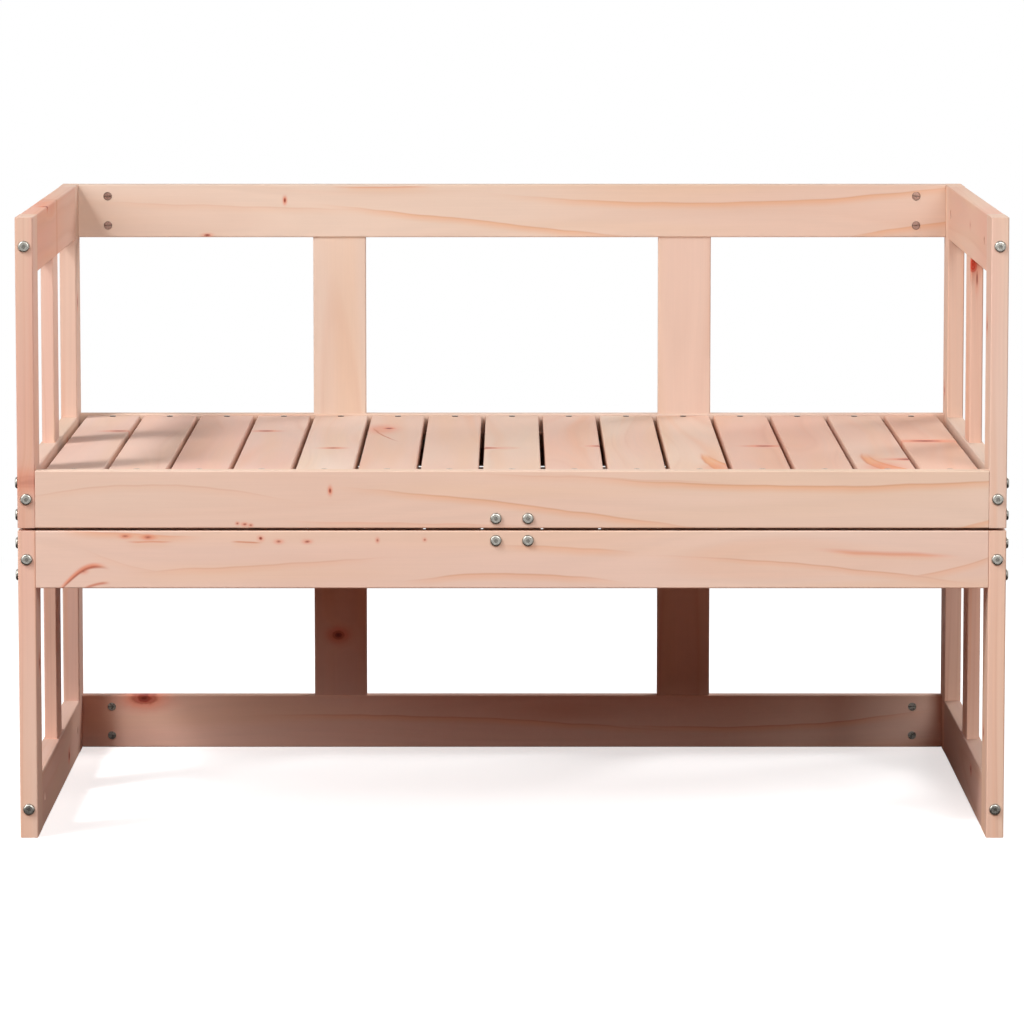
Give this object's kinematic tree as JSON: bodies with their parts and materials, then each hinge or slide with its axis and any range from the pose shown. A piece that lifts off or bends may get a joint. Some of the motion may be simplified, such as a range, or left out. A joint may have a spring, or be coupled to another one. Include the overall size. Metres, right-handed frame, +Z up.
{
  "type": "garden sofa bench",
  "caption": "Slatted wooden garden sofa bench of two equal board frames, one upside down under the other, hinged at the back so the upper frame folds over into a low day bed.",
  "frame": {"origin": "on the floor, in the middle of the bench's width and depth", "axes": "+X to the sitter's left hand side seen from the front as right, along the width; +Y from the front to the back; +Z up"},
  "size_m": [1.116, 0.6996, 0.701],
  "materials": {
    "douglas_fir": "planed, untreated",
    "zinc_steel": "zinc plated",
    "hinge_steel": "zinc plated",
    "pad_rubber": "matt"
  },
  "bodies": {
    "lower_frame": {"hinge_pins": "hinge_steel", "lower_backrest_rail": "douglas_fir", "lower_barrel_nuts": "zinc_steel", "lower_centre_stretcher": "douglas_fir", "lower_front_ledger": "douglas_fir", "lower_front_rail": "douglas_fir", "lower_hinge_leaves": "hinge_steel", "lower_hinge_screws": "hinge_steel", "lower_ledger_screws": "zinc_steel", "lower_left_arm_rail": "douglas_fir", "lower_left_arm_slat": "douglas_fir", "lower_left_back_slat": "douglas_fir", "lower_left_front_post": "douglas_fir", "lower_left_rear_post": "douglas_fir", "lower_left_side_rail": "douglas_fir", "lower_long_bolts": "zinc_steel", "lower_rear_ledger": "douglas_fir", "lower_rear_rail": "douglas_fir", "lower_right_arm_rail": "douglas_fir", "lower_right_arm_slat": "douglas_fir", "lower_right_back_slat": "douglas_fir", "lower_right_front_post": "douglas_fir", "lower_right_rear_post": "douglas_fir", "lower_right_side_rail": "douglas_fir", "lower_seat_slats": "douglas_fir", "lower_short_bolts": "zinc_steel", "lower_slat_screws": "zinc_steel", "rest_pads": "pad_rubber"},
    "upper_frame": {"upper_backrest_rail": "douglas_fir", "upper_barrel_nuts": "zinc_steel", "upper_centre_stretcher": "douglas_fir", "upper_front_ledger": "douglas_fir", "upper_front_rail": "douglas_fir", "upper_hinge_leaves": "hinge_steel", "upper_hinge_screws": "hinge_steel", "upper_ledger_screws": "zinc_steel", "upper_left_arm_rail": "douglas_fir", "upper_left_arm_slat": "douglas_fir", "upper_left_back_slat": "douglas_fir", "upper_left_front_post": "douglas_fir", "upper_left_rear_post": "douglas_fir", "upper_left_side_rail": "douglas_fir", "upper_long_bolts": "zinc_steel", "upper_rear_ledger": "douglas_fir", "upper_rear_rail": "douglas_fir", "upper_right_arm_rail": "douglas_fir", "upper_right_arm_slat": "douglas_fir", "upper_right_back_slat": "douglas_fir", "upper_right_front_post": "douglas_fir", "upper_right_rear_post": "douglas_fir", "upper_right_side_rail": "douglas_fir", "upper_seat_slats": "douglas_fir", "upper_short_bolts": "zinc_steel", "upper_slat_screws": "zinc_steel"}
  },
  "joints": [
    {"name": "fold_over", "type": "hinge", "parent": "lower_frame", "child": "upper_frame", "pos_m": [0, 0.34675, 0.3505], "axis": [-1, 0, 0], "range_deg": [0, 180]}
  ]
}
